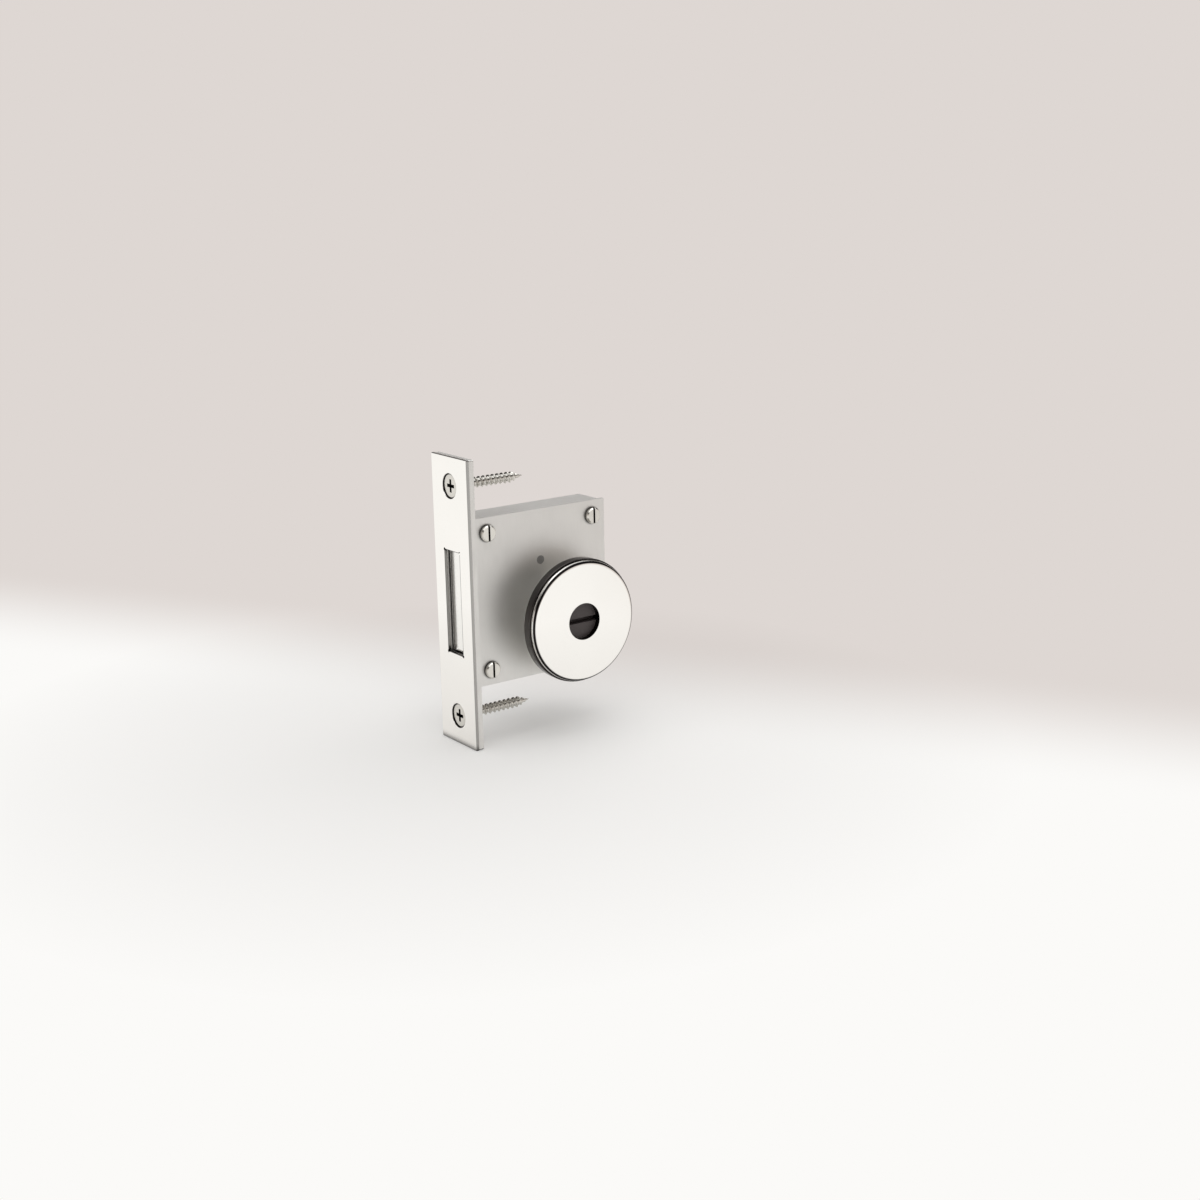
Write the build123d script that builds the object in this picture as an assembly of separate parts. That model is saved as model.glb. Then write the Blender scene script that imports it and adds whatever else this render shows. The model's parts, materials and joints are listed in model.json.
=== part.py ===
from build123d import *
import math
import os

# Auxiliary door lock: a mortise case with a dead bolt, worked by a slotted turn in a round rosette on each
# face of the door. A quarter turn swings a crank, whose pin pushes the bolt's tail.
# Millimetres. +Z is up, +X goes into the door and -Y is the side with the outer rosette.
# The origin is the middle of the forend's back face, which seats on the door's edge.

# Plates on the door's edge
PLATE_WIDTH = 22.6
PLATE_END = 21.5  # run of the plates past the case, at the top and at the bottom
PLATE_CORNER = 0.5
FACEPLATE_THICK = 1.0
FACEPLATE_EDGE = 0.2  # broken front edge
FOREND_THICK = 2.0
FOREND_INSET = 0.15  # the forend hides behind the faceplate by this much all round
FOREND_SLOT_EASE = 0.25  # the forend's bolt slot stands back from the faceplate's by this much

# Screws through the plates
EDGE_SCREW_INSET = 10.3  # from the plates' end
EDGE_SCREW_RADIUS = 2.0
EDGE_SCREW_LENGTH = 30.0
EDGE_SCREW_TIP = 5.0
EDGE_SCREW_NECK = 2.2  # plain neck inside the plates
EDGE_SCREW_PLAY = 0.1
COUNTERSINK_LAND = 0.8  # plain hole left behind the cone
HEAD_SUNK = 0.5  # head below the faceplate
HEAD_PLAY = 0.05
RECESS_LENGTH = 4.6
RECESS_WIDTH = 1.2
RECESS_DEPTH = 2.0
RECESS_TAPER = 1.0  # lean of the recess's ends over its depth

# Bolt
BOLT_SLOT_HEIGHT = 36.8
BOLT_SLOT_WIDTH = 9.6
SLOT_RELIEF = 0.55  # round reliefs in the slot's corners
BOLT_PLAY = 0.3
BOLT_RECESS = 1.8  # bolt's face below the faceplate when drawn back
BOLT_THROW = 20.0
BOLT_EDGE = 0.3
BOLT_REAR_GAP = 6.5  # from the bolt's head to the follower's barrel
TAIL_THICK = 3.2
TAIL_FLOOR = 0.8  # from the follower's barrel to the tail
TAIL_WEB = 2.0
TAIL_END = 3.4
TAIL_CORNER = 1.0
TONGUE_LENGTH = 12.0
TONGUE_SHOULDER = 2.0
RIVET_RADIUS = 1.5
RIVET_INSET = 4.0  # from the tongue's top and bottom

# Case
SHEET = 1.3
BEND_RADIUS = 0.7  # inside a fold
CASE_SIDE_GAP = 0.9  # from the bolt slot's flank to the case's inside
CASE_ROOM = 11.6  # case above and below the bolt slot
CASE_END_GAP = 1.1  # from the tail to the rear wall
TENON_HEIGHT = 6.0
TENON_ROOM = 2.1  # from the bolt slot's end to the tenon
POST_RADIUS = 3.0
POST_EDGE = 4.2  # from the case's inside to a post's axis
POST_FRONT = 7.0
POST_SPIGOT = 2.0
COVER_SCREW_RADIUS = 1.5
COVER_SCREW_DEPTH = 7.0
COVER_HEAD_RADIUS = 2.9
COVER_HEAD_HEIGHT = 1.7
COVER_HEAD_EDGE = 0.4
DRIVER_SLOT = 0.8
GUIDE_RADIUS = 2.0
GUIDE_SPIGOT = 1.5
GUIDE_GAP = 3.0  # from the bolt's head to the guide post

# Bow spring
LEAF_THICK = 0.5
LEAF_SIDE = 0.4  # leaf wider than the tail on each side
BELLY_RADIUS = 11.0
BELLY_LAP = 2.0  # from the thrown tail's end to where the leaf bears
BELLY_SWEEP = 30.0
LEAF_TIP = 2.5
EYE_SWEEP = 250.0

# Turn
BACKSET = 40.0  # from the faceplate to the turn's axis
TURN_DROP = 9.3  # the turn's axis below the plates' middle
FOLLOWER_RADIUS = 6.5
JOURNAL_RADIUS = 5.5
PIN_RADIUS = 2.5
PIN_SPIGOT = 2.0
ARM_RIM = 1.7  # arm round the pin
CRANK_DRIFT = 0.0292  # share of its radius by which a crank leaves a steady ratio over a quarter turn
BUSH_WALL = 1.45
BUSH_FLANGE = 0.8
BUSH_FLANGE_RIM = 1.0
BUSH_PROUD = 0.5
SPINDLE_SIZE = 6.0
SPINDLE_EDGE = 0.4

# Rosettes
DOOR_THICK = 33.0
ROSETTE_RADIUS = 22.25
BASE_HEIGHT = 3.2
BASE_WALL = 2.65
BASE_FLOOR = 1.4
BASE_EDGE = 0.3
BARREL_WALL = 2.4
BARREL_GAP = 2.0  # from the barrel's end to the case
COVER_STEP = 0.55  # cover smaller than its base
COVER_HEIGHT = 2.0
COVER_ROUND = 1.3
COVER_SKIN = 1.2
COVER_SPIGOT = 1.5
HOLE_RADIUS = 6.5
HOLE_EDGE = 0.1
COLLAR_WALL = 2.0
PLUG_RECESS = 2.2  # plug's face below the cover's face
PLUG_GAP = 0.2  # from the plug's face to the collar
PLUG_LAND = 1.0  # plug wider than the hole
PLUG_HEAD = 4.0
PLUG_EDGE = 0.2
PLUG_SLOT_WIDTH = 1.9
PLUG_SLOT_DEPTH = 3.0
SOCKET_DEPTH = 4.1
ROSETTE_SCREW_RADIUS = 1.5
ROSETTE_HEAD_RADIUS = 2.7
ROSETTE_HEAD_HEIGHT = 1.5
ROSETTE_HEAD_RIM = 0.75  # height of the head's straight rim
ROSETTE_HEAD_FLAT = 1.4  # radius of the head's flat top
ROSETTE_SCREW_TIP = 3.0
ROSETTE_SCREW_GAP = 1.0  # from the screw's point to the case

# Clearances
RUN_GAP = 0.05  # turning pieces
FIT_GAP = 0.03  # riveted and pressed pieces
END_GAP = 0.1  # shoulders and shallow stops
LAYER_GAP = 0.3  # pieces that pass beside each other
NOTCH_GAP = 0.15
SAME = 1e-4  # places closer than this are one place

# Places worked out from these
FRONT_X = -(FACEPLATE_THICK + FOREND_THICK)
TURN_X = FRONT_X + BACKSET
TURN_Z = -TURN_DROP
CRANK_RADIUS = BOLT_THROW / math.sqrt(2)

CASE_HALF = BOLT_SLOT_HEIGHT / 2 + CASE_ROOM
INNER_HALF = CASE_HALF - SHEET
PLATE_HEIGHT = 2 * (CASE_HALF + PLATE_END)
INNER_Y = BOLT_SLOT_WIDTH / 2 + CASE_SIDE_GAP
OUTER_Y = INNER_Y + SHEET
SCREW_Z = PLATE_HEIGHT / 2 - EDGE_SCREW_INSET
SCREW_HOLE = EDGE_SCREW_NECK + EDGE_SCREW_PLAY
COUNTERSINK_END = -COUNTERSINK_LAND
COUNTERSINK_RADIUS = SCREW_HOLE + COUNTERSINK_END - FRONT_X
TENON_Z = BOLT_SLOT_HEIGHT / 2 + TENON_ROOM + TENON_HEIGHT / 2

BOLT_FACE_X = FRONT_X + BOLT_RECESS
BOLT_REAR_X = TURN_X - FOLLOWER_RADIUS - BOLT_REAR_GAP
BOLT_HALF_Z = BOLT_SLOT_HEIGHT / 2 - BOLT_PLAY
BOLT_HALF_Y = BOLT_SLOT_WIDTH / 2 - BOLT_PLAY

# The pin rests half the throw behind the axis, and swings as far in front of it
PIN_X = TURN_X + BOLT_THROW / 2
PIN_Z = TURN_Z + BOLT_THROW / 2
NOTCH_HALF = PIN_RADIUS + CRANK_DRIFT * CRANK_RADIUS + NOTCH_GAP
NOTCH_TOP = TURN_Z + CRANK_RADIUS + PIN_RADIUS + LAYER_GAP
TAIL_LOW = TURN_Z + FOLLOWER_RADIUS + TAIL_FLOOR
GUIDE_HALF = GUIDE_RADIUS + RUN_GAP
GUIDE_X = BOLT_REAR_X + GUIDE_GAP + GUIDE_RADIUS
GUIDE_Z = NOTCH_TOP + TAIL_WEB + GUIDE_HALF
GUIDE_SLOT_REAR = GUIDE_X + BOLT_THROW + GUIDE_HALF + LAYER_GAP
TAIL_TOP = GUIDE_Z + GUIDE_HALF + TAIL_WEB
TAIL_REAR_X = max(GUIDE_SLOT_REAR, PIN_X + NOTCH_HALF) + TAIL_END
TAIL_HALF = TAIL_THICK / 2
TONGUE_X = BOLT_REAR_X - TONGUE_LENGTH
TONGUE_LOW = TAIL_LOW + TONGUE_SHOULDER
TONGUE_TOP = TAIL_TOP - TONGUE_SHOULDER
RIVET_X = BOLT_REAR_X - TONGUE_LENGTH / 2
RIVET_ZS = (TONGUE_LOW + RIVET_INSET, TONGUE_TOP - RIVET_INSET)

REAR_X = TAIL_REAR_X + CASE_END_GAP
CASE_DEPTH = REAR_X + SHEET
POST_REAR = REAR_X - POST_EDGE
POST_Z = INNER_HALF - POST_EDGE
POSTS = [(x, z) for x in (POST_FRONT, POST_REAR) for z in (-POST_Z, POST_Z)]

BUSH_BORE = JOURNAL_RADIUS + RUN_GAP
BUSH_RADIUS = BUSH_BORE + BUSH_WALL
FOLLOWER_Y = INNER_Y - BUSH_FLANGE - END_GAP
JOURNAL_Y = OUTER_Y + BUSH_PROUD
ARM_IN = TAIL_HALF + LAYER_GAP
ARM_OUT = FOLLOWER_Y - END_GAP
ARM_END = PIN_RADIUS + ARM_RIM

DOOR_Y = DOOR_THICK / 2
ROSETTE_HEIGHT = BASE_HEIGHT + COVER_HEIGHT
COVER_RADIUS = ROSETTE_RADIUS - COVER_STEP
CUP_RADIUS = ROSETTE_RADIUS - BASE_WALL
PLUG_FACE = ROSETTE_HEIGHT - PLUG_RECESS
PLUG_RADIUS = HOLE_RADIUS + PLUG_LAND
PLUG_SEAT = PLUG_FACE - PLUG_HEAD
BARREL_RADIUS = PLUG_RADIUS + END_GAP + BARREL_WALL
BARREL_END = OUTER_Y + BARREL_GAP - DOOR_Y
SPIGOT_RADIUS = CUP_RADIUS - END_GAP
SPIGOT_INSIDE = SPIGOT_RADIUS - COVER_SPIGOT
SOCKET_FLOOR = BARREL_END + SOCKET_DEPTH
ROSETTE_SCREW_PLACE = (BARREL_RADIUS + SPIGOT_INSIDE) / 2  # midway between the barrel and the spigot
ROSETTE_SCREW_END = OUTER_Y + ROSETTE_SCREW_GAP - DOOR_Y


def block(x0, x1, y0, y1, z0, z1):
    """A box between two corners."""
    return Pos((x0 + x1) / 2, (y0 + y1) / 2, (z0 + z1) / 2) * Box(x1 - x0, y1 - y0, z1 - z0)


def rod_y(x, z, radius, y0, y1):
    """A cylinder along Y."""
    return Pos(x, (y0 + y1) / 2, z) * Rot(90, 0, 0) * Cylinder(radius, y1 - y0)


def cone_x(z, radius0, radius1, x0, x1):
    """A cone or cylinder along X, in the plane of the bolt."""
    cone = Cylinder(radius0, x1 - x0) if radius0 == radius1 else Cone(radius0, radius1, x1 - x0)
    return Pos((x0 + x1) / 2, 0, z) * Rot(0, 90, 0) * cone


def slab_x(sketch, x0, x1):
    """A sketch drawn in Y and Z, given thickness along X."""
    return extrude(Plane.YZ.offset(x0) * sketch, x1 - x0)


def slab_y(sketch, y0, y1):
    """A sketch drawn in X and Z, given thickness along Y."""
    return extrude(Plane.XZ.offset(-y1) * sketch, y1 - y0)


def patch(x0, x1, z0, z1):
    """A rectangle drawn in X and Z between two corners."""
    return Pos((x0 + x1) / 2, (z0 + z1) / 2) * Rectangle(x1 - x0, z1 - z0)


def turned(*points):
    """A solid turned about Z from a profile of radius and height."""
    return revolve(Plane.XZ * make_face(Polyline(*points, close=True)), Axis.Z)


def rims(solid, radius, height):
    """The round edges of a turned solid at one radius and height."""
    rounds = solid.edges().filter_by(GeomType.CIRCLE)
    at_height = rounds.filter_by(lambda edge: abs(edge.center().Z - height) < SAME)
    return at_height.filter_by(lambda edge: abs(edge.radius - radius) < SAME)


def on_door(piece, side):
    """A rosette's piece, drawn with Z out of the door, put on one of its faces: -1 outer, 1 inner."""
    face = Plane((TURN_X, side * DOOR_Y, TURN_Z), x_dir=(-side, 0, 0), z_dir=(0, side, 0))
    return face.location * piece


def under_tangent(centre_a, radius_a, centre_b, radius_b):
    """Angle, in degrees, at which one straight line passes under two circles and touches both."""
    dx = centre_b[0] - centre_a[0]
    dz = centre_b[1] - centre_a[1]
    lean = math.acos((radius_a - radius_b) / math.hypot(dx, dz))
    return math.degrees(math.atan2(dz, dx) - lean)


def around(centre, radius, degrees):
    """The point of a circle at an angle."""
    turn = math.radians(degrees)
    return centre[0] + radius * math.cos(turn), centre[1] + radius * math.sin(turn)


def bolt_slot(ease=0.0):
    """The bolt's opening, with the round corner reliefs that let a square bolt through."""
    width = BOLT_SLOT_WIDTH + 2 * ease
    height = BOLT_SLOT_HEIGHT + 2 * ease
    return Rectangle(width, height) + GridLocations(width, height, 2, 2) * Circle(SLOT_RELIEF)


def countersinks():
    """The two screw holes through both plates, each with its cone."""
    cuts = []
    for z in (-SCREW_Z, SCREW_Z):
        cuts.append(cone_x(z, COUNTERSINK_RADIUS, SCREW_HOLE, FRONT_X, COUNTERSINK_END))
        cuts.append(cone_x(z, SCREW_HOLE, SCREW_HOLE, FRONT_X, 0))
    return cuts


def faceplate():
    back_x = FRONT_X + FACEPLATE_THICK
    plate = slab_x(RectangleRounded(PLATE_WIDTH, PLATE_HEIGHT, PLATE_CORNER), FRONT_X, back_x)
    plate = chamfer(plate.faces().sort_by(Axis.X)[0].edges(), FACEPLATE_EDGE)
    return plate - slab_x(bolt_slot(), FRONT_X, back_x) - countersinks()


def tenons(side, play=0.0):
    """The case's two tenons in the forend on one side, or the mortises for them when there is play."""
    depth = FOREND_THICK - END_GAP + play
    middle = side * (INNER_Y + OUTER_Y) / 2
    tenon = Box(depth, SHEET + 2 * play, TENON_HEIGHT + 2 * play)
    return [Pos(-depth / 2, middle, z) * tenon for z in (-TENON_Z, TENON_Z)]


def forend():
    width = PLATE_WIDTH - 2 * FOREND_INSET
    height = PLATE_HEIGHT - 2 * FOREND_INSET
    plate = slab_x(RectangleRounded(width, height, PLATE_CORNER), -FOREND_THICK, 0)
    plate -= slab_x(bolt_slot(FOREND_SLOT_EASE), -FOREND_THICK, 0)
    return plate - countersinks() - tenons(-1, END_GAP) - tenons(1, END_GAP)


def cross_recess(x, z):
    """A cross recess that narrows to its floor, cut into a head that faces -X."""
    top = RECESS_LENGTH / 2
    floor = top - RECESS_TAPER
    half = RECESS_WIDTH / 2
    wing = Polygon((0, -top), (RECESS_DEPTH, -floor), (RECESS_DEPTH, floor), (0, top), align=None)
    upright = slab_y(wing, -half, half)
    return [Pos(x, 0, z) * upright, Pos(x, 0, z) * Rot(90, 0, 0) * upright]


def faceplate_screws():
    top_x = FRONT_X + HEAD_SUNK
    head = COUNTERSINK_RADIUS - HEAD_SUNK - HEAD_PLAY
    neck_x = top_x + head - EDGE_SCREW_NECK
    end_x = FRONT_X + EDGE_SCREW_LENGTH
    tip_x = end_x - EDGE_SCREW_TIP
    screws = []
    for z in (-SCREW_Z, SCREW_Z):
        screw = cone_x(z, head, EDGE_SCREW_NECK, top_x, neck_x)
        screw += cone_x(z, EDGE_SCREW_NECK, EDGE_SCREW_NECK, neck_x, 0)
        screw += cone_x(z, EDGE_SCREW_RADIUS, EDGE_SCREW_RADIUS, 0, tip_x)
        screw += cone_x(z, EDGE_SCREW_RADIUS, 0, tip_x, end_x)
        screws.append(screw - cross_recess(top_x, z))
    return screws


def wall_holes(post_hole):
    """Holes through one side wall: the bush, the guide post and the four posts."""
    y = OUTER_Y
    holes = [rod_y(TURN_X, TURN_Z, BUSH_RADIUS + FIT_GAP, -y, y)]
    holes.append(rod_y(GUIDE_X, GUIDE_Z, GUIDE_SPIGOT + FIT_GAP, -y, y))
    holes += [rod_y(x, z, post_hole, -y, y) for x, z in POSTS]
    return holes


def case_body():
    """A tray folded from one sheet, with open corners where its rear wall meets the top and bottom."""
    relief = SHEET + BEND_RADIUS + END_GAP
    tray = block(0, CASE_DEPTH, -INNER_Y, OUTER_Y, -CASE_HALF, CASE_HALF)
    hollow = block(0, REAR_X, -INNER_Y, INNER_Y, -INNER_HALF, INNER_HALF)
    for z0, z1 in ((-CASE_HALF, relief - CASE_HALF), (CASE_HALF - relief, CASE_HALF)):
        tray -= block(CASE_DEPTH - relief, CASE_DEPTH, -INNER_Y, OUTER_Y, z0, z1)
    tray = fillet(folds(tray, CASE_DEPTH, OUTER_Y, CASE_HALF), SHEET + BEND_RADIUS)
    hollow = fillet(folds(hollow, REAR_X, INNER_Y, INNER_HALF), BEND_RADIUS)
    return tray - hollow - wall_holes(POST_SPIGOT + FIT_GAP) + tenons(1)


def folds(solid, x, y, z):
    """The edges between a tray's floor and its rear, top and bottom walls."""
    floor = solid.faces().sort_by(Axis.Y)[-1]
    rear = floor.edges().filter_by(lambda edge: abs(edge.center().X - x) < SAME)
    sides = floor.edges().filter_by(lambda edge: abs(abs(edge.center().Z) - z) < SAME)
    return rear + sides


def case_cover():
    plate = block(0, CASE_DEPTH, -OUTER_Y, -INNER_Y, -CASE_HALF, CASE_HALF)
    return plate - wall_holes(COVER_SCREW_RADIUS + END_GAP) + tenons(-1)


def cover_posts():
    """Posts riveted into the tray's floor and tapped for the cover's screws."""
    posts = []
    for x, z in POSTS:
        post = rod_y(x, z, POST_RADIUS, -INNER_Y, INNER_Y)
        post += rod_y(x, z, POST_SPIGOT, INNER_Y, OUTER_Y)
        tapped_to = COVER_SCREW_DEPTH + END_GAP - INNER_Y
        posts.append(post - rod_y(x, z, COVER_SCREW_RADIUS + FIT_GAP, -INNER_Y, tapped_to))
    return posts


def cover_screws():
    top_y = -OUTER_Y - COVER_HEAD_HEIGHT
    screws = []
    for x, z in POSTS:
        head = rod_y(x, z, COVER_HEAD_RADIUS, top_y, -OUTER_Y)
        head = chamfer(head.faces().sort_by(Axis.Y)[0].edges(), COVER_HEAD_EDGE)
        half = DRIVER_SLOT / 2
        reach = COVER_HEAD_RADIUS + END_GAP
        head -= block(x - half, x + half, top_y, top_y + DRIVER_SLOT, z - reach, z + reach)
        screws.append(head + rod_y(x, z, COVER_SCREW_RADIUS, -OUTER_Y, COVER_SCREW_DEPTH - INNER_Y))
    return screws


def bolt_guide_post():
    post = rod_y(GUIDE_X, GUIDE_Z, GUIDE_RADIUS, -INNER_Y, INNER_Y)
    return post + rod_y(GUIDE_X, GUIDE_Z, GUIDE_SPIGOT, -OUTER_Y, OUTER_Y)


def bolt_spring():
    """A strip rolled into an eye on the upper rear post, and bowed to bear on the tail's top edge."""
    half = LEAF_THICK / 2
    belly = (TAIL_REAR_X - BOLT_THROW - BELLY_LAP, TAIL_TOP + END_GAP + half + BELLY_RADIUS)
    eye = (POST_REAR, POST_Z)
    eye_radius = POST_RADIUS + RUN_GAP + half
    lean = under_tangent(belly, BELLY_RADIUS, eye, eye_radius)
    start = -90 - BELLY_SWEEP
    free_end = around(belly, BELLY_RADIUS, start)
    tip = around(free_end, LEAF_TIP, start - 90)
    strip = Line(tip, free_end)
    strip += CenterArc(belly, BELLY_RADIUS, start, lean - start)
    strip += Line(around(belly, BELLY_RADIUS, lean), around(eye, eye_radius, lean))
    strip += CenterArc(eye, eye_radius, lean, EYE_SWEEP)
    side = TAIL_HALF + LEAF_SIDE
    return slab_y(trace(strip, LEAF_THICK), -side, side)


def bolt_head():
    """The bolt's solid head, with a pocket in its rear for the tail's tongue."""
    head = block(BOLT_FACE_X, BOLT_REAR_X, -BOLT_HALF_Y, BOLT_HALF_Y, -BOLT_HALF_Z, BOLT_HALF_Z)
    head = fillet(head.faces().sort_by(Axis.X)[0].edges(), BOLT_EDGE)
    half = TAIL_HALF + FIT_GAP
    low = TONGUE_LOW - FIT_GAP
    top = TONGUE_TOP + FIT_GAP
    head -= block(TONGUE_X - FIT_GAP, BOLT_REAR_X, -half, half, low, top)
    return head - rivet_rods(RIVET_RADIUS + FIT_GAP)


def rivet_rods(radius):
    """Two rods through the bolt's head and the tail's tongue."""
    return [rod_y(RIVET_X, z, radius, -BOLT_HALF_Y, BOLT_HALF_Y) for z in RIVET_ZS]


def bolt_tail():
    """A flat bar with a tongue for the head, a long slot on the guide post and a notch for the pin."""
    bar = patch(BOLT_REAR_X, TAIL_REAR_X, TAIL_LOW, TAIL_TOP)
    bar = fillet(bar.vertices().group_by(Axis.X)[-1], TAIL_CORNER)
    bar += patch(TONGUE_X, BOLT_REAR_X, TONGUE_LOW, TONGUE_TOP)
    slot_front = GUIDE_X - GUIDE_HALF - LAYER_GAP
    slot_middle = (slot_front + GUIDE_SLOT_REAR) / 2
    bar -= Pos(slot_middle, GUIDE_Z) * SlotOverall(GUIDE_SLOT_REAR - slot_front, 2 * GUIDE_HALF)
    bar -= patch(PIN_X - NOTCH_HALF, PIN_X + NOTCH_HALF, TAIL_LOW, NOTCH_TOP)
    return slab_y(bar, -TAIL_HALF, TAIL_HALF) - rivet_rods(RIVET_RADIUS + FIT_GAP)


def square_along_y(size, y0, y1):
    """A square bar on the turn's axis."""
    half = size / 2
    return block(TURN_X - half, TURN_X + half, y0, y1, TURN_Z - half, TURN_Z + half)


def follower():
    """The hub that the spindle turns, with its journals and the arm that carries the pin."""
    hub = rod_y(TURN_X, TURN_Z, FOLLOWER_RADIUS, -FOLLOWER_Y, FOLLOWER_Y)
    hub += rod_y(TURN_X, TURN_Z, JOURNAL_RADIUS, -JOURNAL_Y, JOURNAL_Y)
    rounds = Pos(TURN_X, TURN_Z) * Circle(FOLLOWER_RADIUS) + Pos(PIN_X, PIN_Z) * Circle(ARM_END)
    hub += slab_y(make_hull(rounds.edges()), ARM_IN, ARM_OUT)
    hub -= rod_y(PIN_X, PIN_Z, PIN_SPIGOT + FIT_GAP, ARM_IN, ARM_OUT)
    return hub - square_along_y(SPINDLE_SIZE + 2 * RUN_GAP, -JOURNAL_Y, JOURNAL_Y)


def crank_pin():
    pin = rod_y(PIN_X, PIN_Z, PIN_RADIUS, -ARM_IN, ARM_IN)
    return pin + rod_y(PIN_X, PIN_Z, PIN_SPIGOT, ARM_IN, ARM_OUT)


def follower_bush(side):
    """A flanged bush pressed into a side wall from inside the case."""
    flange_y = INNER_Y - BUSH_FLANGE
    bush = rod_y(TURN_X, TURN_Z, BUSH_RADIUS, INNER_Y, JOURNAL_Y)
    bush += rod_y(TURN_X, TURN_Z, BUSH_RADIUS + BUSH_FLANGE_RIM, flange_y, INNER_Y)
    bush -= rod_y(TURN_X, TURN_Z, BUSH_BORE, flange_y, JOURNAL_Y)
    return bush if side > 0 else mirror(bush, Plane.XZ)


def spindle():
    end = DOOR_Y + SOCKET_FLOOR - END_GAP
    bar = square_along_y(SPINDLE_SIZE, -end, end)
    ends = bar.faces().sort_by(Axis.Y)
    return chamfer(ends[0].edges() + ends[-1].edges(), SPINDLE_EDGE)


def rosette_base(side):
    """A cast flange with a shallow cup in its front and a barrel that goes into the door."""
    bore = JOURNAL_RADIUS + RUN_GAP
    seat = PLUG_RADIUS + END_GAP
    base = turned(
        (bore, BARREL_END),
        (BARREL_RADIUS, BARREL_END),
        (BARREL_RADIUS, 0),
        (ROSETTE_RADIUS, 0),
        (ROSETTE_RADIUS, BASE_HEIGHT),
        (CUP_RADIUS, BASE_HEIGHT),
        (CUP_RADIUS, BASE_FLOOR),
        (BARREL_RADIUS, BASE_FLOOR),
        (BARREL_RADIUS, PLUG_FACE),
        (seat, PLUG_FACE),
        (seat, PLUG_SEAT - END_GAP),
        (bore, PLUG_SEAT - END_GAP),
    )
    base = fillet(rims(base, ROSETTE_RADIUS, BASE_HEIGHT), BASE_EDGE)
    hole = Cylinder(ROSETTE_SCREW_RADIUS + END_GAP, BASE_FLOOR)
    base -= [Pos(0, y, BASE_FLOOR / 2) * hole for y in (-ROSETTE_SCREW_PLACE, ROSETTE_SCREW_PLACE)]
    return on_door(base, side)


def rosette_cover(side):
    """A cap with a rounded edge, a collar round its hole and a spigot that grips inside the base's cup."""
    collar = HOLE_RADIUS + COLLAR_WALL
    collar_end = PLUG_FACE + PLUG_GAP
    inside = ROSETTE_HEIGHT - COVER_SKIN
    spigot_end = BASE_FLOOR + LAYER_GAP
    cover = turned(
        (HOLE_RADIUS, collar_end),
        (collar, collar_end),
        (collar, inside),
        (SPIGOT_INSIDE, inside),
        (SPIGOT_INSIDE, spigot_end),
        (SPIGOT_RADIUS, spigot_end),
        (SPIGOT_RADIUS, BASE_HEIGHT),
        (COVER_RADIUS, BASE_HEIGHT),
        (COVER_RADIUS, ROSETTE_HEIGHT),
        (HOLE_RADIUS, ROSETTE_HEIGHT),
    )
    cover = fillet(rims(cover, COVER_RADIUS, ROSETTE_HEIGHT), COVER_ROUND)
    cover = chamfer(rims(cover, HOLE_RADIUS, ROSETTE_HEIGHT), HOLE_EDGE)
    return on_door(cover, side)


def rosette_screws(side):
    """Two short wood screws that hold the base, with heads under the cover."""
    tip = ROSETTE_SCREW_END + ROSETTE_SCREW_TIP
    screw = turned(
        (0, ROSETTE_SCREW_END),
        (ROSETTE_SCREW_RADIUS, tip),
        (ROSETTE_SCREW_RADIUS, BASE_FLOOR),
        (ROSETTE_HEAD_RADIUS, BASE_FLOOR),
        (ROSETTE_HEAD_RADIUS, BASE_FLOOR + ROSETTE_HEAD_RIM),
        (ROSETTE_HEAD_FLAT, BASE_FLOOR + ROSETTE_HEAD_HEIGHT),
        (0, BASE_FLOOR + ROSETTE_HEAD_HEIGHT),
    )
    return [on_door(Pos(0, y, 0) * screw, side) for y in (-ROSETTE_SCREW_PLACE, ROSETTE_SCREW_PLACE)]


def turn_plug(side):
    """The slotted plug seen in the rosette's hole, with a shank and a square socket for the spindle."""
    plug = turned(
        (0, BARREL_END),
        (JOURNAL_RADIUS, BARREL_END),
        (JOURNAL_RADIUS, PLUG_SEAT),
        (PLUG_RADIUS, PLUG_SEAT),
        (PLUG_RADIUS, PLUG_FACE),
        (0, PLUG_FACE),
    )
    plug = chamfer(rims(plug, PLUG_RADIUS, PLUG_FACE), PLUG_EDGE)
    slot_middle = PLUG_FACE - PLUG_SLOT_DEPTH / 2
    slot_length = 2 * (PLUG_RADIUS + END_GAP)
    plug -= Pos(0, 0, slot_middle) * Box(slot_length, PLUG_SLOT_WIDTH, PLUG_SLOT_DEPTH)
    across = SPINDLE_SIZE + 2 * RUN_GAP
    plug -= Pos(0, 0, BARREL_END + SOCKET_DEPTH / 2) * Box(across, across, SOCKET_DEPTH)
    return on_door(plug, side)


PIECES = {
    "faceplate": faceplate(),
    "forend": forend(),
    "faceplate_screws": faceplate_screws(),
    "case_body": case_body(),
    "case_cover": case_cover(),
    "cover_posts": cover_posts(),
    "cover_screws": cover_screws(),
    "bolt_guide_post": bolt_guide_post(),
    "bolt_spring": bolt_spring(),
    "bolt_head": bolt_head(),
    "bolt_tail": bolt_tail(),
    "bolt_rivets": rivet_rods(RIVET_RADIUS),
    "follower": follower(),
    "crank_pin": crank_pin(),
    "spindle": spindle(),
}
for name, side in (("outer", -1), ("inner", 1)):
    PIECES[f"follower_bush_{name}"] = follower_bush(side)
    PIECES[f"rosette_base_{name}"] = rosette_base(side)
    PIECES[f"rosette_cover_{name}"] = rosette_cover(side)
    PIECES[f"rosette_screws_{name}"] = rosette_screws(side)
    PIECES[f"turn_plug_{name}"] = turn_plug(side)

os.makedirs("parts", exist_ok=True)
for name, piece in PIECES.items():
    if isinstance(piece, list):
        piece = Compound(children=[solid for one in piece for solid in one.solids()])
    export_step(piece, f"parts/{name}.step")
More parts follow.
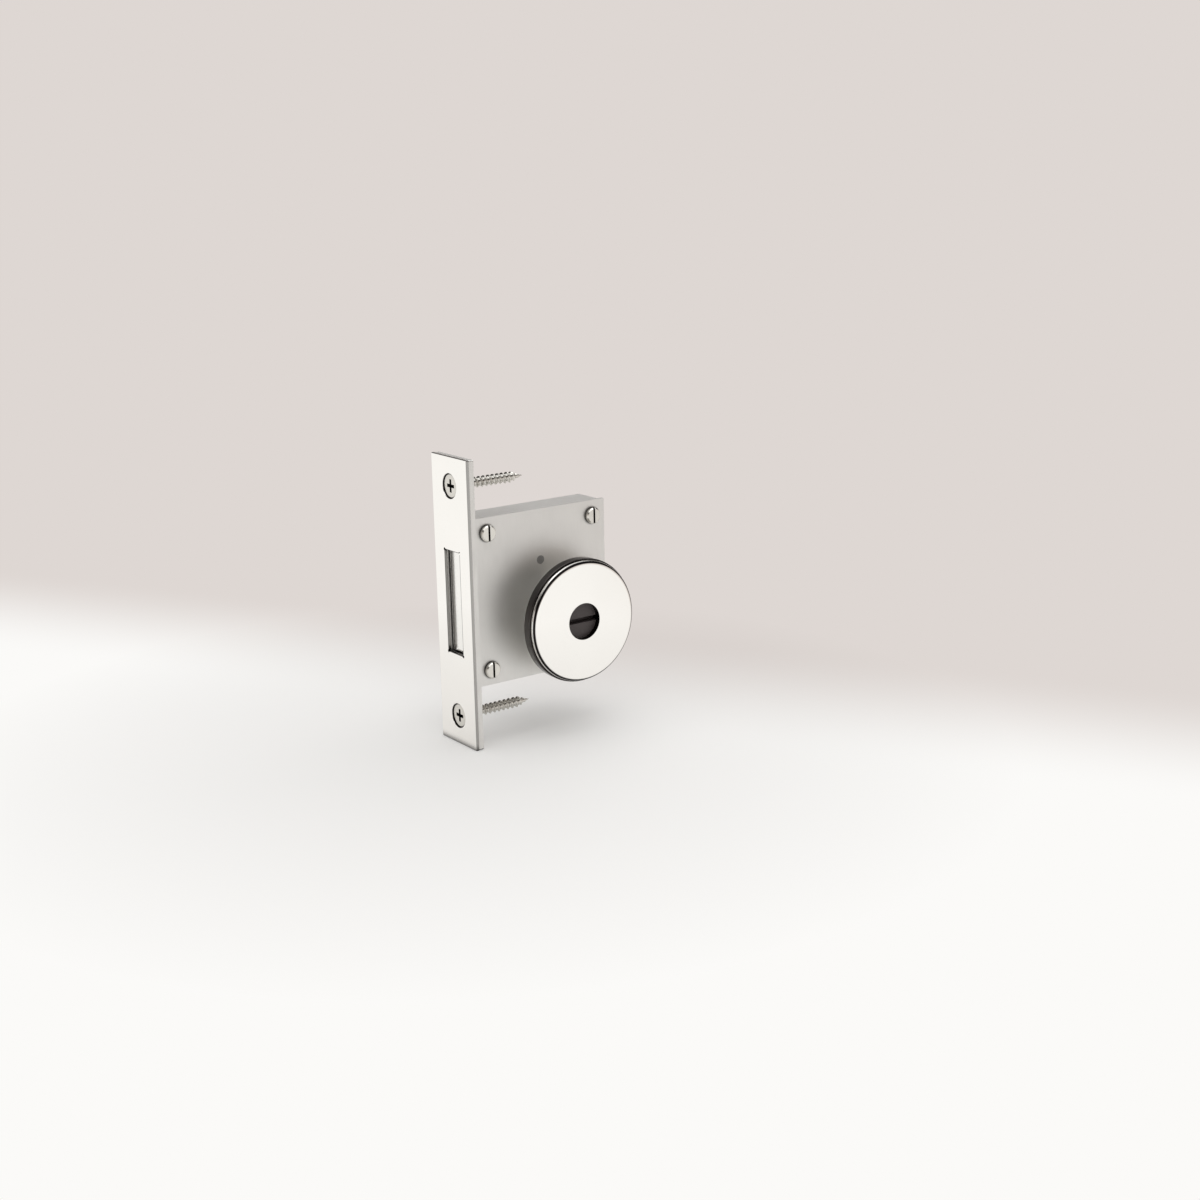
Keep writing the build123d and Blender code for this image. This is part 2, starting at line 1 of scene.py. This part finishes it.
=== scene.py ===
import json
import math

import bmesh
import bpy
import numpy as np
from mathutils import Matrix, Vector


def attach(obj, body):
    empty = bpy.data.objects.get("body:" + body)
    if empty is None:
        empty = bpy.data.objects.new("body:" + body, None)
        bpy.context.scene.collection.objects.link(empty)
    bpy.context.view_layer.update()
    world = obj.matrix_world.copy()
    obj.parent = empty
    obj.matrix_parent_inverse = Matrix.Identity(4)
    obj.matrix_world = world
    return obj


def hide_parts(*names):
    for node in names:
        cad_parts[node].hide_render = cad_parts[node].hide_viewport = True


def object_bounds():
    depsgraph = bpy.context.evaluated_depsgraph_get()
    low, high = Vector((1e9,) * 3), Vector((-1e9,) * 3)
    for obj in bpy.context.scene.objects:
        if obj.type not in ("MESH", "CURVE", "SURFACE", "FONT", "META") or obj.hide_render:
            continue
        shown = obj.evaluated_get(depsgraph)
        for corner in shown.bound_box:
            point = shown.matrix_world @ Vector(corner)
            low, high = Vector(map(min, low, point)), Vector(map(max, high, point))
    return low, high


# Auxiliary lock: looks of the edge plates, bolt, case and rosettes, and threads on the wood screws.
# Metres, in the frame of the solids: +X runs from the faceplate along the edge screws, +Z is up and -Y is
# the outer rosette's side.
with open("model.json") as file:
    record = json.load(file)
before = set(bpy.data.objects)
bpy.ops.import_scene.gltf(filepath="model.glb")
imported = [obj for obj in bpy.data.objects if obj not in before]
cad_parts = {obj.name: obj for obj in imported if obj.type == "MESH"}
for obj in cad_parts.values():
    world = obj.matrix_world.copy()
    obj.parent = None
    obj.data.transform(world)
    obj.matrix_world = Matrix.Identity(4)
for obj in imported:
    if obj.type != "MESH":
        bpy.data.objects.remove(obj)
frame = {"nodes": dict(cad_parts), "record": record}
NODES = frame["nodes"]
CAD_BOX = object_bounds()
MM = 0.001

# Wood screws, in millimetres: a shank runs from its head's underside to the tip of its point
EDGE_SHANK = {"radius": 2.0, "length": 27.0, "plain": 5.0, "point": 5.0, "pitch": 1.9}
EDGE_SCREW_Z = 41.2
ROSETTE_SHANK = {"radius": 1.5, "length": 9.9, "plain": 1.8, "point": 3.0, "pitch": 1.4}
ROSETTE_SCREW_PLACE = 14.0  # above and below the turn's axis
ROSETTE_FLOOR_Y = 17.9  # where a rosette screw's shank starts, from the lock's middle
TURN_X = 37.0
TURN_Z = -9.3
CORE_SHARE = 0.68  # of the thread's outer radius
RIDGE_SHARE = 0.62  # of the pitch, at the ridge's foot
RUN_IN = 0.7  # of the pitch, over which the thread deepens
ROWS_PER_PITCH = 14
COLUMNS = 40
ON_PLANE = 1e-6  # metres, by which a head's point may pass the plane under the head
WELD = 1e-7  # metres, within which points are merged
CREASE = 35.0  # degrees, above which an edge is sharp

# Where plating is absent or shade is painted, in millimetres: ramps from the bare colour to plated metal.
# On the faceplate, the edge screws and the rosette's cover, that colour is painted shade in dark lines,
# sides, recesses and the hole. On the bolt and the rosette base, it is bare metal.
# Faceplate: painted shade in thin dark lines along its outline and slot, on its sides and slot walls, and
# in its countersinks
FACEPLATE_FRONT_X = {"From Min": -2.85, "From Max": -2.97}  # from the faceplate's walls to its front
FACEPLATE_HALF = (11.3, 51.5)  # half of its width and height
SLOT_HALF = (4.8, 18.4)
OUTLINE_SHADE_LINE = {"From Min": -0.05, "From Max": -0.3}  # on its front, inwards from its outline
SLOT_SHADE_LINE = {"From Min": 0.05, "From Max": 0.3}  # and outwards from its slot
SIDE_SHADE_SHARE = 0.4  # of the plating's brightness on its sides and slot walls
COUNTERSINK_SHADE_RADIUS = {"From Min": 5.5, "From Max": 6.0}  # from its dark countersinks outwards
# Edge screws: painted shade in the cross recess and under the head
SCREW_RECESS_SHADE_X = {"From Min": -2.4, "From Max": -2.46}  # from an edge screw's recess to its face
UNDER_HEAD_SHADE_X = {"From Min": -0.1, "From Max": 0.0}  # from under its head to its shank
BOLT_END_X = {"From Min": -0.75, "From Max": -0.95}  # from the bolt's sides to its polished end
# Rosette cover: painted shade in the hole, and a thin painted dark line on the rounding
HOLE_SHADE_RADIUS = {"From Min": 6.58, "From Max": 6.66}  # from the rosette's hole to its face
COVER_SHADE_LINE_IN = {"From Min": 21.0, "From Max": 20.75}  # from the dark line on its rounding to its face
COVER_SHADE_LINE_OUT = {"From Min": 21.5, "From Max": 21.62}  # and to its side
BASE_BACK_Y = {"From Min": 16.55, "From Max": 16.7}  # from the rosette base's seat to its rim
BARE_DULLNESS = 0.22  # added to the roughness where plating is absent
PAINTED_SHADE = "#1C1A19"  # painted shade in seams, recesses, holes and dark lines
PAINTED_SHADE_LIMITS = {"From Min": 0.45, "From Max": 0.92}  # share of open sky, from full painted shade to none
PAINTED_SHADE_SAMPLES = 8

# Surface patterns. Their sizes are in millimetres, and real mop, brush and rolling lines are finer than the
# grain here, which is drawn this coarse to show in near views.
CLOUD_DETAIL = 3.0
GRAIN_DETAIL = 4.0
GRAIN_LIMITS = {"From Min": 0.3, "From Max": 0.7}  # noise, from the smoothest to the roughest lines
CAST_GRAIN = 0.35
CAST_TINTS = ("#484242", "#585150")
CAST_ROUGH = {"To Min": 0.42, "To Max": 0.6}
CAST_BUMP = 0.02

# Camera, lamps, floor and sky, in metres, degrees and watts
CAMERA_PLACE = (-0.30655, -0.49938, 0.15431)
CAMERA_TURN = (75.158, 1.027, -36.539)
CAMERA_LENS = 52.08
KEY_LAMP = {"place": (-0.25, -0.25, 1.0), "size": 1.4, "power": 7.2}
TOP_LAMP = {"place": (0.3, 0.15, 0.95), "size": 1.4, "power": 5.8}
FLOOR_HALF = 8.0
SHADOW_FADE = {"From Min": 0.06, "From Max": 0.2}  # from the object's middle, over which its shadow fades
SHADOW_KEEP = 0.7  # share of the floor's own shading near the object
# The floor's tone is a painted pool of light: white near the object, falling off to the far tone behind it
# and far away
LIT_POOL_TONE = "#FBFAF8"
FAR_TONE = "#DED7D3"
FALLOFF_HEADING = 30.0  # from +X towards +Y, the way in which the floor deepens
FALLOFF_BEHIND = {"From Min": 0.03, "From Max": 0.15}  # along that heading, from the near tone to the far tone
FALLOFF_AWAY = {"From Min": 0.5, "From Max": 1.6}  # the same, from the object's middle to any side
SKY_LOW = 8.0  # above the horizon, where the sky starts to dim
SKY_HIGH = 20.0  # and where it is dim
SKY_DIM = 0.1


def linear(code):
    """An sRGB hex colour as linear red, green, blue and alpha."""
    shades = np.array([int(code[i : i + 2], 16) for i in (1, 3, 5)]) / 255
    bent = np.where(shades <= 0.04045, shades / 12.92, ((shades + 0.055) / 1.055) ** 2.4)
    return (*bent.tolist(), 1.0)


def add(tree, kind, inputs=None, **settings):
    """Adds a shader node with its settings; an input takes a value or another node's output."""
    node = tree.nodes.new("ShaderNode" + kind)
    for key, value in settings.items():
        setattr(node, key, value)
    for key, value in (inputs or {}).items():
        if isinstance(value, bpy.types.NodeSocket):
            tree.links.new(value, node.inputs[key])
        else:
            node.inputs[key].default_value = value
    return node


def start(name):
    """A new material, its node tree and the surface's place in millimetres."""
    material = bpy.data.materials.new(name)
    material.use_nodes = True
    tree = material.node_tree
    tree.nodes.clear()
    metres = add(tree, "TexCoord").outputs["Object"]
    place = add(tree, "VectorMath", {"Vector": metres, "Scale": 1 / MM}, operation="SCALE")
    return material, tree, place.outputs["Vector"]


def outside(tree, place, half):
    """How far a place lies outside a rectangle in Y and Z about the frame's origin, below 0 inside it."""
    size = add(tree, "VectorMath", {0: place}, operation="ABSOLUTE").outputs[0]
    over = add(tree, "VectorMath", {0: size, 1: (0, *half)}, operation="SUBTRACT").outputs[0]
    sides = add(tree, "SeparateXYZ", {"Vector": over}).outputs
    return add(tree, "Math", {0: sides["Y"], 1: sides["Z"]}, operation="MAXIMUM").outputs[0]


def faceplate_shade_mask(tree, place):
    """1 on the faceplate's front and 0 in thin painted shade lines along its outline and its slot. Deeper
    along X there is a share on its sides and slot walls, which darkens them with painted shade, and 0 in
    its countersinks, which are painted dark as shade."""
    depth = add(tree, "SeparateXYZ", {"Vector": place}).outputs["X"]
    front = add(tree, "MapRange", {"Value": depth, **FACEPLATE_FRONT_X}).outputs["Result"]
    from_slot = outside(tree, place, SLOT_HALF)
    slot = add(tree, "MapRange", {"Value": from_slot, **SLOT_SHADE_LINE}).outputs["Result"]
    from_outline = outside(tree, place, FACEPLATE_HALF)
    outline = add(tree, "MapRange", {"Value": from_outline, **OUTLINE_SHADE_LINE}).outputs["Result"]
    shade_lines = add(tree, "Math", {0: slot, 1: outline}, operation="MINIMUM").outputs[0]
    face = add(tree, "Math", {0: front, 1: shade_lines}, operation="MINIMUM").outputs[0]
    flat = add(tree, "VectorMath", {0: place, 1: (0, 1, 1)}, operation="MULTIPLY").outputs[0]
    size = add(tree, "VectorMath", {0: flat}, operation="ABSOLUTE").outputs[0]
    screw = (0, 0, EDGE_SCREW_Z)
    away = add(tree, "VectorMath", {0: size, 1: screw}, operation="DISTANCE").outputs["Value"]
    clear = add(tree, "MapRange", {"Value": away, **COUNTERSINK_SHADE_RADIUS}).outputs["Result"]
    share = add(tree, "Math", {0: clear, 1: SIDE_SHADE_SHARE}, operation="MULTIPLY").outputs[0]
    deep = add(tree, "Math", {0: 1.0, 1: front}, operation="SUBTRACT").outputs[0]
    wall = add(tree, "Math", {0: deep, 1: share}, operation="MULTIPLY").outputs[0]
    return add(tree, "Math", {0: face, 1: wall}, operation="MAXIMUM").outputs[0]


def edge_screw_unshaded(tree, place):
    """1 on an edge screw's face and shank and 0 in its cross recess and under its head, which are painted
    dark as shade, from X.
    """
    depth = add(tree, "SeparateXYZ", {"Vector": place}).outputs["X"]
    face = add(tree, "MapRange", {"Value": depth, **SCREW_RECESS_SHADE_X}).outputs["Result"]
    shank = add(tree, "MapRange", {"Value": depth, **UNDER_HEAD_SHADE_X}).outputs["Result"]
    return add(tree, "Math", {0: face, 1: shank}, operation="MAXIMUM").outputs[0]


def bolt_end(tree, place):
    """1 on the bolt's end and 0 along its sides, from the place along X with the bolt drawn back."""
    depth = add(tree, "SeparateXYZ", {"Vector": place}).outputs["X"]
    return add(tree, "MapRange", {"Value": depth, **BOLT_END_X}).outputs["Result"]


def rosette_unshaded(tree, place):
    """1 on the rosette's face and side and 0 in its hole and in a thin line round its rounding, both
    painted dark as shade and dark reflection, from the distance to the turn's axis."""
    away = add(tree, "VectorMath", {0: place, 1: (TURN_X, 0, TURN_Z)}, operation="SUBTRACT").outputs[0]
    flat = add(tree, "VectorMath", {0: away, 1: (1, 0, 1)}, operation="MULTIPLY").outputs[0]
    radius = add(tree, "VectorMath", {0: flat}, operation="LENGTH").outputs["Value"]
    hole = add(tree, "MapRange", {"Value": radius, **HOLE_SHADE_RADIUS}).outputs["Result"]
    face = add(tree, "MapRange", {"Value": radius, **COVER_SHADE_LINE_IN}).outputs["Result"]
    side = add(tree, "MapRange", {"Value": radius, **COVER_SHADE_LINE_OUT}).outputs["Result"]
    line = add(tree, "Math", {0: face, 1: side}, operation="MAXIMUM").outputs[0]
    return add(tree, "Math", {0: hole, 1: line}, operation="MINIMUM").outputs[0]


def base_rim(tree, place):
    """1 on the rosette base's rim and 0 on its seat and barrel, from the distance to the lock's middle."""
    side = add(tree, "SeparateXYZ", {"Vector": place}).outputs["Y"]
    away = add(tree, "Math", {0: side}, operation="ABSOLUTE").outputs[0]
    return add(tree, "MapRange", {"Value": away, **BASE_BACK_Y}).outputs["Result"]


def metal(
    name, light, deep, blotch, grain, rough, bump, stretch=(1, 1, 1), shade_reach=0.9, plating_or_shade=None, bare_or_shade=PAINTED_SHADE
):
    """A plated or bare metal: blotches in millimetres shade two colours, and a grain, drawn out by
    stretch, moves the roughness between two values and lifts the surface by bump millimetres. Where the
    plated function falls to 0, the bare colour shows and the metal is duller; on some finishes that colour
    is painted shade. Where other metal stands within the given millimetres, an ambient occlusion node
    paints shade dark."""
    material, tree, place = start(name)
    cloud = add(tree, "TexNoise", {"Vector": place, "Scale": 1 / blotch, "Detail": CLOUD_DETAIL})
    mixed = {0: cloud.outputs["Fac"], 6: linear(light), 7: linear(deep)}
    tint = add(tree, "Mix", mixed, data_type="RGBA").outputs[2]
    drawn = add(tree, "VectorMath", {0: place, 1: stretch}, operation="DIVIDE").outputs[0]
    noise = add(tree, "TexNoise", {"Vector": drawn, "Scale": 1 / grain, "Detail": GRAIN_DETAIL})
    lines = noise.outputs["Fac"]
    polish = {"Value": lines, **GRAIN_LIMITS, "To Min": rough[0], "To Max": rough[1]}
    roughness = add(tree, "MapRange", polish).outputs["Result"]
    if plating_or_shade:
        unshaded_plating = plating_or_shade(tree, place)
        mixed = {0: unshaded_plating, 6: linear(bare_or_shade), 7: tint}
        tint = add(tree, "Mix", mixed, data_type="RGBA").outputs[2]
        fall = {"Value": unshaded_plating, "To Min": BARE_DULLNESS, "To Max": 0.0}
        dull = add(tree, "MapRange", fall).outputs["Result"]
        roughness = add(tree, "Math", {0: roughness, 1: dull}, operation="ADD").outputs[0]
    # Painted shade: ambient occlusion darkens the colour in seams, recesses and corners
    around = add(tree, "AmbientOcclusion", {"Distance": shade_reach * MM}, samples=PAINTED_SHADE_SAMPLES)
    unshaded = add(tree, "MapRange", {"Value": around.outputs["AO"], **PAINTED_SHADE_LIMITS}).outputs["Result"]
    mixed = {0: unshaded, 6: linear(PAINTED_SHADE), 7: tint}
    tint = add(tree, "Mix", mixed, data_type="RGBA").outputs[2]
    relief = add(tree, "Bump", {"Height": lines, "Distance": bump * MM}).outputs["Normal"]
    looks = {"Base Color": tint, "Metallic": 1.0, "Roughness": roughness, "Normal": relief}
    shader = add(tree, "BsdfPrincipled", looks)
    add(tree, "OutputMaterial", {"Surface": shader.outputs["BSDF"]})
    return material


def coated_zinc_alloy():
    """Zinc alloy under a coat: the grain of the casting shades two colours, moves the roughness and lifts
    the surface."""
    material, tree, place = start("dark coated zinc alloy")
    noise = add(tree, "TexNoise", {"Vector": place, "Scale": 1 / CAST_GRAIN, "Detail": CLOUD_DETAIL})
    cast = noise.outputs["Fac"]
    mixed = {0: cast, 6: linear(CAST_TINTS[0]), 7: linear(CAST_TINTS[1])}
    tint = add(tree, "Mix", mixed, data_type="RGBA").outputs[2]
    roughness = add(tree, "MapRange", {"Value": cast, **CAST_ROUGH}).outputs["Result"]
    relief = add(tree, "Bump", {"Height": cast, "Distance": CAST_BUMP * MM}).outputs["Normal"]
    looks = {"Base Color": tint, "Roughness": roughness, "Normal": relief}
    shader = add(tree, "BsdfPrincipled", looks)
    add(tree, "OutputMaterial", {"Surface": shader.outputs["BSDF"]})
    return material


# Bright chrome plating over polished metal: near-white mirror, with a faint haze from the polishing mop,
# and painted shade in the rosette's hole and in a thin dark line on its rounding
BRIGHT = {
    "light": "#FFFDF9",
    "deep": "#FAF8F4",
    "blotch": 18,
    "grain": 0.8,
    "rough": (0.03, 0.07),
    "bump": 0.0004,
    "shade_reach": 3.0,
}
CHROME = metal("bright chrome plating", **BRIGHT, plating_or_shade=rosette_unshaded)
# The same on the stamped faceplate, with painted shade: dark lines along its outline and slot, darker sides
# and slot walls, and dark countersinks
STAMPED_CHROME = metal("chrome on stamped steel", **BRIGHT, plating_or_shade=faceplate_shade_mask)
# Zinc-plated cold-rolled sheet: pale grey, blurred reflections, clouds of tint and faint rolling lines
ZINC = metal(
    "zinc-plated sheet steel",
    light="#EEEDEA",
    deep="#E4E3E0",
    blotch=9,
    grain=0.5,
    rough=(0.42, 0.52),
    bump=0.002,
    stretch=(1, 1, 12),
)
# Nickel-plated screw steel: warm pale metal, a little softer than chrome
SCREW = {
    "light": "#E6E3DC",
    "deep": "#D8D5CE",
    "blotch": 3,
    "grain": 0.4,
    "rough": (0.14, 0.24),
    "bump": 0.002,
    "shade_reach": 2.0,
}
NICKEL = metal("nickel-plated screw steel", **SCREW)
# The same on the edge screws, with painted shade in the cross recess and under the head
EDGE_NICKEL = metal("nickel on punched screw steel", **SCREW, plating_or_shade=edge_screw_unshaded)
# Turned and stamped bare steel: mid grey with tool lines round or along the piece
STEEL = metal(
    "turned bare steel",
    light="#B6B6B8",
    deep="#A3A4A7",
    blotch=5,
    grain=0.35,
    rough=(0.25, 0.36),
    bump=0.004,
    stretch=(8, 1, 8),
)
# Blued spring steel: dark blue-grey with the drawn strip's long lines
SPRING = metal(
    "blued spring steel",
    light="#5A6070",
    deep="#474B57",
    blotch=4,
    grain=0.3,
    rough=(0.28, 0.4),
    bump=0.003,
    stretch=(10, 1, 1),
)
# Turned brass: yellow, soft gloss
BRASS = metal(
    "turned brass", light="#D2B06A", deep="#BE9A55", blotch=4, grain=0.3, rough=(0.2, 0.32), bump=0.003
)
# Satin-chromed bolt: pale plating over a ground end, a little softer than chrome, and duller ground sides
GROUND = "#D2D1CD"
SATIN = metal(
    "satin chrome plating",
    light="#FDFCF8",
    deep="#F7F6F2",
    blotch=12,
    grain=0.3,
    rough=(0.12, 0.2),
    bump=0.001,
    stretch=(1, 1, 10),
    shade_reach=0.4,
    plating_or_shade=bolt_end,
    bare_or_shade=GROUND,
)
# Rivet heads ground flush with the bolt's sides: the same dull pale metal
FLUSH_STEEL = metal(
    "steel ground flush",
    light=GROUND,
    deep="#CAC9C5",
    blotch=4,
    grain=0.3,
    rough=(0.2, 0.3),
    bump=0.001,
    shade_reach=0.2,
)
# Black nickel plating: a dark mirror, which shows white surroundings as mid grey; its seat is left as cast,
# pale and bare
BLACK_NICKEL = metal(
    "black nickel plating",
    light="#504D4B",
    deep="#464342",
    blotch=14,
    grain=0.6,
    rough=(0.06, 0.12),
    bump=0.0005,
    plating_or_shade=base_rim,
    bare_or_shade="#E4E3E0",
)
# Die-cast zinc alloy under a dark grey coat: matt, with the fine grain of the casting
DARK = coated_zinc_alloy()

FINISHES = {
    "chrome_plate": CHROME,
    "satin_chrome": SATIN,
    "black_nickel": BLACK_NICKEL,
    "zinc_steel": ZINC,
    "screw_steel": NICKEL,
    "turned_steel": STEEL,
    "spring_steel": SPRING,
    "bush_brass": BRASS,
    "dark_plug": DARK,
}
for part in frame["record"]["subparts"]:
    mesh = NODES[part["node"]].data
    mesh.materials.clear()
    mesh.materials.append(FINISHES[part["material_slot"]])
NODES["faceplate"].data.materials[0] = STAMPED_CHROME
NODES["bolt_rivets"].data.materials[0] = FLUSH_STEEL


def wood_thread(radius, length, plain, point, pitch):
    """A wood screw's shank: distance along it and turn round it give the radius. That is the outer
    radius over the plain run; past it a ridge, which moves on by one pitch in each turn, stands on a
    thinner core; and over the point everything shrinks to nothing. Closed at both ends."""
    rows = int(ROWS_PER_PITCH * length / pitch)
    along, turn = np.meshgrid(
        np.linspace(0, length, rows), np.arange(COLUMNS) * 2 * np.pi / COLUMNS, indexing="ij"
    )
    phase = (along / pitch - turn / (2 * np.pi)) % 1
    ridge = np.clip(1 - np.abs(2 * phase - 1) / RIDGE_SHARE, 0, 1)
    deep = np.clip((along - plain) / (RUN_IN * pitch), 0, 1)
    outer = radius * np.clip((length - along) / point, 0, 1)
    reach = outer * (1 - (1 - CORE_SHARE) * deep * (1 - ridge))
    reach = np.vstack([np.zeros((1, COLUMNS)), reach])
    along = np.vstack([along[:1], along])
    turn = np.vstack([turn[:1], turn])
    points = np.stack([along, reach * np.cos(turn), reach * np.sin(turn)], axis=-1)
    index = np.arange(points.shape[0] * COLUMNS).reshape(-1, COLUMNS)
    after = np.roll(index, -1, axis=1)
    faces = np.stack([index[:-1], after[:-1], after[1:], index[1:]], axis=-1)
    return points.reshape(-1, 3), faces.reshape(-1, 4)


def solid_heads(node, axis, edge):
    """The points of a screw node and its triangles on the heads' side of a plane across the screws."""
    mesh = NODES[node].data
    mesh.calc_loop_triangles()
    points = np.empty(3 * len(mesh.vertices), np.float32)
    corners = np.empty(3 * len(mesh.loop_triangles), np.int32)
    mesh.vertices.foreach_get("co", points)
    mesh.loop_triangles.foreach_get("vertices", corners)
    points = points.reshape(-1, 3)
    corners = corners.reshape(-1, 3)
    near = points @ np.array(axis) <= edge + ON_PLANE
    return points, corners[near[corners].all(axis=1)]


def threaded_screws(name, node, axis, edge, heads, shank, finish):
    """Screws with a real thread in the place of a node's plain ones: its own heads, and a shank from
    each head's underside, which stands edge metres along the axis."""
    points, head_faces = solid_heads(node, axis, edge)
    shank_points, shank_faces = wood_thread(**shank)
    forward = np.array(axis, float)
    side = np.array([0.0, 0.0, 1.0])
    across = np.cross(side, forward)
    basis = np.stack([forward, across, side])
    all_points = [points]
    all_faces = head_faces.tolist()
    offset = len(points)
    for head in heads:
        base = np.array(head) * MM
        base += forward * (edge - base @ forward)
        all_points.append(shank_points @ basis * MM + base)
        all_faces += (shank_faces + offset).tolist()
        offset += len(shank_points)
    mesh = bpy.data.meshes.new(name)
    mesh.from_pydata(np.vstack(all_points).tolist(), [], all_faces)
    shape = bmesh.new()
    shape.from_mesh(mesh)
    bmesh.ops.remove_doubles(shape, verts=shape.verts, dist=WELD)
    loose = [vert for vert in shape.verts if not vert.link_faces]
    bmesh.ops.delete(shape, geom=loose, context="VERTS")
    bmesh.ops.holes_fill(shape, edges=shape.edges)
    bmesh.ops.recalc_face_normals(shape, faces=shape.faces)
    shape.to_mesh(mesh)
    shape.free()
    mesh.materials.append(finish)
    mesh.shade_smooth()
    mesh.set_sharp_from_angle(angle=math.radians(CREASE))
    screws = bpy.data.objects.new(name, mesh)
    bpy.context.scene.collection.objects.link(screws)
    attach(screws, "case")
    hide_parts(node)


threaded_screws(
    "faceplate_screws_threaded",
    "faceplate_screws",
    axis=(1, 0, 0),
    edge=0.0,
    heads=[(0, 0, -EDGE_SCREW_Z), (0, 0, EDGE_SCREW_Z)],
    shank=EDGE_SHANK,
    finish=EDGE_NICKEL,
)
for name, inward in (("outer", 1), ("inner", -1)):
    threaded_screws(
        f"rosette_screws_{name}_threaded",
        f"rosette_screws_{name}",
        axis=(0, inward, 0),
        edge=-ROSETTE_FLOOR_Y * MM,
        heads=[(TURN_X, 0, TURN_Z + place) for place in (-ROSETTE_SCREW_PLACE, ROSETTE_SCREW_PLACE)],
        shank=ROSETTE_SHANK,
        finish=NICKEL,
    )


def graded_floor():
    """A pale floor under the object with a painted pool of light: white near it and at its front, and along
    one heading deepening smoothly, as painted falloff of light, to a warm pale tone behind it, which it
    also reaches far away on every side. To the eye and in metal it has that tone, with the object's shadow
    near it; as a source of bounced light it is paint of that tone."""
    low = CAD_BOX[0].z
    corners = [(-1, -1), (1, -1), (1, 1), (-1, 1)]
    mesh = bpy.data.meshes.new("floor")
    mesh.from_pydata([(FLOOR_HALF * x, FLOOR_HALF * y, low) for x, y in corners], [], [(0, 1, 2, 3)])
    floor = bpy.data.objects.new("floor", mesh)
    bpy.context.scene.collection.objects.link(floor)
    material = bpy.data.materials.new("pale studio floor")
    material.use_nodes = True
    tree = material.node_tree
    tree.nodes.clear()
    metres = add(tree, "TexCoord").outputs["Object"]
    heading = math.radians(FALLOFF_HEADING)
    backward = (math.cos(heading), math.sin(heading), 0)
    behind = add(tree, "VectorMath", {0: metres, 1: backward}, operation="DOT_PRODUCT").outputs["Value"]
    away = add(tree, "VectorMath", {0: metres}, operation="LENGTH").outputs["Value"]
    smooth = {"interpolation_type": "SMOOTHSTEP"}
    # Painted falloff of light: the floor darkens from its lit pool behind the object and far away
    rear = add(tree, "MapRange", {"Value": behind, **FALLOFF_BEHIND}, **smooth).outputs["Result"]
    far = add(tree, "MapRange", {"Value": away, **FALLOFF_AWAY}, **smooth).outputs["Result"]
    painted_falloff = add(tree, "Math", {0: rear, 1: far}, operation="MAXIMUM").outputs[0]
    mixed = {0: painted_falloff, 6: linear(LIT_POOL_TONE), 7: linear(FAR_TONE)}
    tone = add(tree, "Mix", mixed, data_type="RGBA").outputs[2]
    faded = {"Value": away, **SHADOW_FADE, "To Min": 1 - SHADOW_KEEP}
    glow = add(tree, "MapRange", faded).outputs["Result"]
    rays = add(tree, "LightPath").outputs
    seen = add(tree, "Math", {0: rays["Is Camera Ray"], 1: rays["Is Glossy Ray"]}, operation="MAXIMUM")
    seen = add(tree, "Math", {0: seen.outputs[0], 1: rays["Is Transmission Ray"]}, operation="MAXIMUM")
    share = add(tree, "Math", {0: seen.outputs[0], 1: glow}, operation="MULTIPLY")
    paint = add(tree, "BsdfDiffuse", {"Color": tone})
    plain = add(tree, "Emission", {"Color": tone, "Strength": 1.0})
    mix = add(tree, "MixShader", {0: share.outputs[0], 1: paint.outputs[0], 2: plain.outputs[0]})
    add(tree, "OutputMaterial", {"Surface": mix.outputs[0]})
    mesh.materials.append(material)


def studio_sky():
    """Light from all round: the floor's far tone at and below the horizon, and a dim ceiling above it."""
    world = bpy.data.worlds.new("studio")
    bpy.context.scene.world = world
    world.use_nodes = True
    tree = world.node_tree
    tree.nodes.clear()
    direction = add(tree, "TexCoord").outputs["Generated"]
    height = add(tree, "SeparateXYZ", {"Vector": direction}).outputs["Z"]
    fade = add(
        tree,
        "MapRange",
        {
            "Value": height,
            "From Min": math.sin(math.radians(SKY_LOW)),
            "From Max": math.sin(math.radians(SKY_HIGH)),
            "To Min": 1.0,
            "To Max": SKY_DIM,
        },
        interpolation_type="SMOOTHSTEP",
    )
    light = add(tree, "Background", {"Color": linear(FAR_TONE), "Strength": fade.outputs["Result"]})
    add(tree, "OutputWorld", {"Surface": light.outputs[0]})


def soft_lamp(name, place, size, power):
    """A square soft box that faces the middle of the object."""
    lamp = bpy.data.lights.new(name, "AREA")
    lamp.size = size
    lamp.energy = power
    box = bpy.data.objects.new(name, lamp)
    bpy.context.scene.collection.objects.link(box)
    middle = (CAD_BOX[0] + CAD_BOX[1]) / 2
    box.location = place
    box.rotation_mode = "QUATERNION"
    box.rotation_quaternion = (middle - box.location).to_track_quat("-Z", "Y")


graded_floor()
studio_sky()
soft_lamp("key_lamp", **KEY_LAMP)
soft_lamp("top_lamp", **TOP_LAMP)

lens = bpy.data.cameras.new("camera")
lens.lens = CAMERA_LENS
camera = bpy.data.objects.new("camera", lens)
bpy.context.scene.collection.objects.link(camera)
camera.location = CAMERA_PLACE
camera.rotation_euler = [math.radians(angle) for angle in CAMERA_TURN]
bpy.context.scene.camera = camera
bpy.context.scene.view_settings.view_transform = "Standard"
